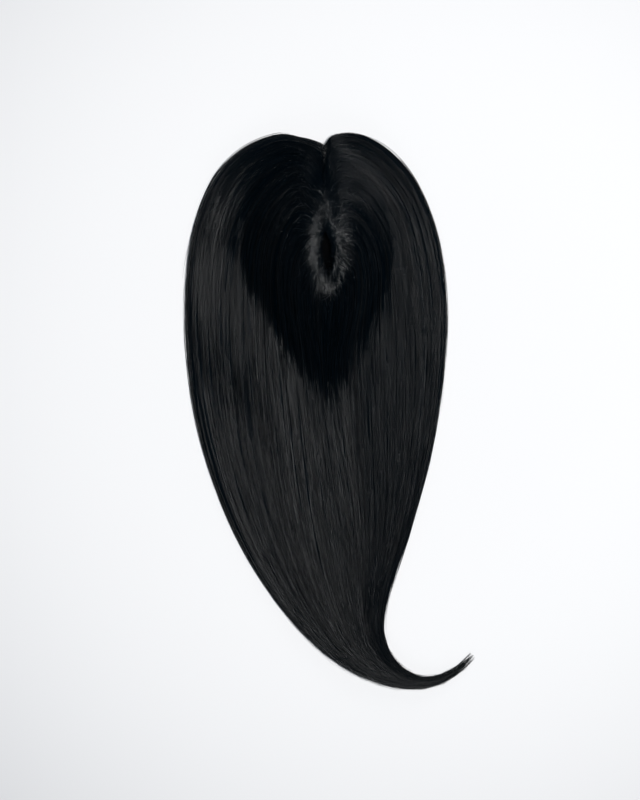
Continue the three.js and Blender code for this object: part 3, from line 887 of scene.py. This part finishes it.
def make_strands():
    tree = tube_tree()
    finish = strand_finish("hair_strand", STRAND_GLOSS)
    new_growth = strand_finish("hair_new_growth", NEW_HAIR_GLOSS)
    count = STRANDS // len(STRAND_PIECES)
    for number, piece in enumerate(STRAND_PIECES):
        rng = np.random.default_rng(100 + number)
        lines = strand_lines(rng, piece["side"], piece["low"], piece["high"], count)
        make_strand_piece(piece["name"], tree, finish, *lines)
    for side, hand in ((-1, "left"), (1, "right")):
        rng = np.random.default_rng(200 + side)
        for name, kind, lines in (
            ("short_hairs_", new_growth, short_lines(rng, side, SHORT_STRANDS // 2)),
            ("whorl_brush_", new_growth, brush_lines(rng, side, BRUSH_HAIRS)),
            ("flyaways_", finish, flyaway_lines(rng, side, FLYAWAYS // 2)),
        ):
            make_strand_piece(name + hand, tree, kind, *lines)


def bed_part(side, start, end):
    """Top and bottom places and map of one hand's part of a bed, from one share to another."""
    steps = BED_END * np.linspace(0, 1, BED_STEPS) ** BED_CROWDING
    shares, step = np.meshgrid(np.linspace(start, end, BED_COLUMNS), steps)
    sides = np.full_like(shares, side)
    kept_in = np.clip(shares, BED_EDGE, 1)
    plan = flow_place(sides, kept_in, step)
    top, under = hair_levels(sides, kept_in, step, plan)
    swing = BED_RIDGE_SWING * np.sin(step * BED_SWING_RATE)
    ridge = BED_RIDGE * np.sin(shares * BED_RIDGE_RATE + swing) * smooth(*BED_RIDGE_STEPS, step)
    low = under + BED_LIFT
    high = np.maximum(low + BED_LEAST, top - BED_UNDER + ridge)
    spine = flow_place(sides, np.full_like(shares, 0.5), step)
    plan = mix(plan, spine, (BED_GATHER * smooth(*BED_GATHER_STEPS, step))[..., None])
    top, bottom = (np.concatenate([plan, level[..., None]], -1) for level in (high, low))
    return top, bottom, np.stack([side * shares, step / LAST_ROW], -1)


def shell_faces(rows, columns):
    """Quads of a closed sheet: its top, the bottom whose points come after, and four sides."""
    top = np.arange(rows * columns).reshape(rows, columns)
    low = top + rows * columns

    def quads(*corners):
        return np.stack(corners, -1).reshape(-1, 4)

    return np.concatenate([
        quads(top[:-1, :-1], top[:-1, 1:], top[1:, 1:], top[1:, :-1]),
        quads(low[:-1, :-1], low[1:, :-1], low[1:, 1:], low[:-1, 1:]),
        quads(top[:-1, 0], top[1:, 0], low[1:, 0], low[:-1, 0]),
        quads(top[1:, -1], top[:-1, -1], low[:-1, -1], low[1:, -1]),
        quads(top[0, 1:], top[0, :-1], low[0, :-1], low[0, 1:]),
        quads(top[-1, :-1], top[-1, 1:], low[-1, 1:], low[-1, :-1]),
    ])


def bed_mesh(name, hands):
    """A closed bed: its top lies a little under the strands and its bottom on the cap and floor."""
    parts = zip(*(bed_part(*hand) for hand in hands))
    top, bottom, flow = (np.concatenate(part, 1) for part in parts)
    vertices = np.concatenate([top.reshape(-1, 3), bottom.reshape(-1, 3)]) + WHORL
    mesh = bpy.data.meshes.new(name)
    mesh.from_pydata(vertices.tolist(), [], shell_faces(*top.shape[:2]).tolist())
    both = np.concatenate([flow.reshape(-1, 2)] * 2)
    layer = mesh.uv_layers.new(name="flow")
    layer.data.foreach_set("uv", both[corner_vertices(mesh)].astype(np.float32).ravel())
    return mesh


def close_mesh(mesh, finish):
    """Merges doubles, turns every face out and gives the mesh its finish."""
    work = bmesh.new()
    work.from_mesh(mesh)
    bmesh.ops.remove_doubles(work, verts=work.verts, dist=0.01 * MM)
    bmesh.ops.recalc_face_normals(work, faces=work.faces)
    work.to_mesh(mesh)
    work.free()
    mesh.materials.append(finish)
    mesh.shade_smooth()


def make_beds():
    finish = bed_finish()
    for piece in BED_PIECES:
        mesh = bed_mesh(piece["name"], piece["hands"])
        close_mesh(mesh, finish)
        finish_piece(add_object(piece["name"], mesh), "hair", piece["node"])


# Foundation: the net cap with its bound edge, the film under the parting, and the clips

def loop_mesh(name, x, y, z, finish, closed_rows=False):
    """A closed form through rows of points, each row a ring; open ends are drawn to nothing."""
    places = np.stack(np.broadcast_arrays(x, y, z), -1)
    rows, columns = places.shape[:2]
    index = np.arange(rows * columns).reshape(rows, columns)
    index = np.concatenate([index, index[:, :1]], 1)
    if closed_rows:
        index = np.concatenate([index, index[:1]])
    faces = np.stack([index[:-1, :-1], index[:-1, 1:], index[1:, 1:], index[1:, :-1]], -1)
    mesh = bpy.data.meshes.new(name)
    mesh.from_pydata((places.reshape(-1, 3) + WHORL).tolist(), [], faces.reshape(-1, 4).tolist())
    close_mesh(mesh, finish)
    return mesh


def cap_net_mesh(finish):
    """The dome's outer face from the middle to the rim and its inner face back again."""
    out = np.concatenate([np.linspace(0, 1, CAP_RINGS), np.linspace(1, 0, CAP_RINGS)])[:, None]
    inset = np.repeat([0, NET_WALL], CAP_RINGS)[:, None]
    turn = np.linspace(0, 2 * np.pi, CAP_SPOKES, endpoint=False)[None]
    x = (CAP_WIDTH / 2 - inset) * out * np.cos(turn)
    y = CAP_CENTRE_Y + (CAP_LENGTH / 2 - inset) * out * np.sin(turn)
    z = np.maximum(CAP_RISE * (1 - out ** 2) - FILM_DEPTH - inset, RIM_LIFT - 0.1 * inset)
    return loop_mesh("cap_net", x, y, z, finish)


def cap_binding_mesh(finish):
    """A soft tape folded over the rim, a little puckered where it is sewn."""
    turn = np.linspace(0, 2 * np.pi, CAP_SPOKES * 2, endpoint=False)[:, None]
    round_tape = np.linspace(0, 2 * np.pi, BINDING_SIDES, endpoint=False)[None]
    pucker = 1 + PUCKER_SIZE * np.sin(PUCKERS * turn)
    reach = BINDING_HALF * pucker * np.cos(round_tape) - 1.2 * BINDING_HALF
    x = (CAP_WIDTH / 2 + reach) * np.cos(turn)
    y = CAP_CENTRE_Y + (CAP_LENGTH / 2 + reach) * np.sin(turn)
    z = BINDING_HALF * (1.1 + pucker * np.sin(round_tape))
    return loop_mesh("cap_binding", x, y, z, finish, closed_rows=True)


def parting_film_mesh(finish):
    """The film in its place on the cap: a strip with a round back end and thin edges."""
    half_width, back = PANEL_WIDTH / 2, -WHORL_LENGTH / 2
    along = np.linspace(0, 1, FILM_ROWS)[:, None]
    y = mix(back - half_width, CAP_CENTRE_Y + CAP_LENGTH / 2 - RIM_LIFT, along)
    half = half_width * np.sqrt(np.clip(1 - np.clip((back - y) / half_width, 0, 1) ** 2, 0, 1))
    across = np.concatenate([np.linspace(-1, 1, FILM_COLUMNS), np.linspace(1, -1, FILM_COLUMNS)])[None]
    under = np.repeat([0, 1], FILM_COLUMNS)[None]
    thick = FILM_DEPTH * smooth(0, 0.03, along) * smooth(1, 0.985, along) * (1 - 0.6 * across ** 6)
    x = half * across
    z = np.maximum(cap_height(x, y) - FILM_DEPTH + thick * (1 - under), 0.5 * RIM_LIFT)
    return loop_mesh("parting_film", x, y, z, finish)


def make_foundation():
    finish_piece(add_object("cap_net", cap_net_mesh(net_finish())), "cap", "base_cap")
    finish_piece(add_object("cap_binding", cap_binding_mesh(tape_finish())), "cap", "base_cap")
    finish_piece(add_object("parting_film", parting_film_mesh(panel_finish())), "panel", "parting_panel")
    enamel = clip_finish()
    for name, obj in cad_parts.items():
        if name.startswith("snap_clip"):
            obj.data.materials.clear()
            obj.data.materials.append(enamel)


# Stage

def make_camera():
    data = bpy.data.cameras.new("camera")
    data.sensor_width = SENSOR
    data.lens = SENSOR * CAMERA_HEIGHT / (IMAGE_HEIGHT * PIXEL)
    data.clip_end = CAMERA_REACH
    x = WHORL[0] + (IMAGE_WIDTH / 2 - WHORL_PIXEL[0]) * PIXEL
    y = WHORL[1] + (WHORL_PIXEL[1] - IMAGE_HEIGHT / 2) * PIXEL
    camera = add_object("camera", data)
    camera.location = (x, y, CAMERA_HEIGHT)
    bpy.context.scene.camera = camera


def add_light(name, place, aim, size, power):
    data = bpy.data.lights.new(name, "AREA")
    data.shape = "RECTANGLE"
    data.size, data.size_y = size
    data.energy = power
    light = add_object(name, data)
    light.location = place
    light.rotation_euler = (Vector(aim) - Vector(place)).to_track_quat("-Z", "Y").to_euler()


def make_stage():
    bpy.ops.mesh.primitive_plane_add(size=FLOOR_SIZE, location=(0, 0, 0))
    floor = bpy.context.object
    floor.name = "floor"
    floor.data.materials.append(floor_finish())
    for light in LIGHTS:
        add_light(**light)
    world = bpy.data.worlds.new("room")
    world.use_nodes = True
    background = world.node_tree.nodes["Background"]
    background.inputs["Color"].default_value = ROOM_COLOUR
    background.inputs["Strength"].default_value = ROOM_STRENGTH
    bpy.context.scene.world = world
    bpy.context.scene.view_settings.view_transform = "Standard"


make_camera()
make_beds()
make_strands()
make_foundation()
make_stage()
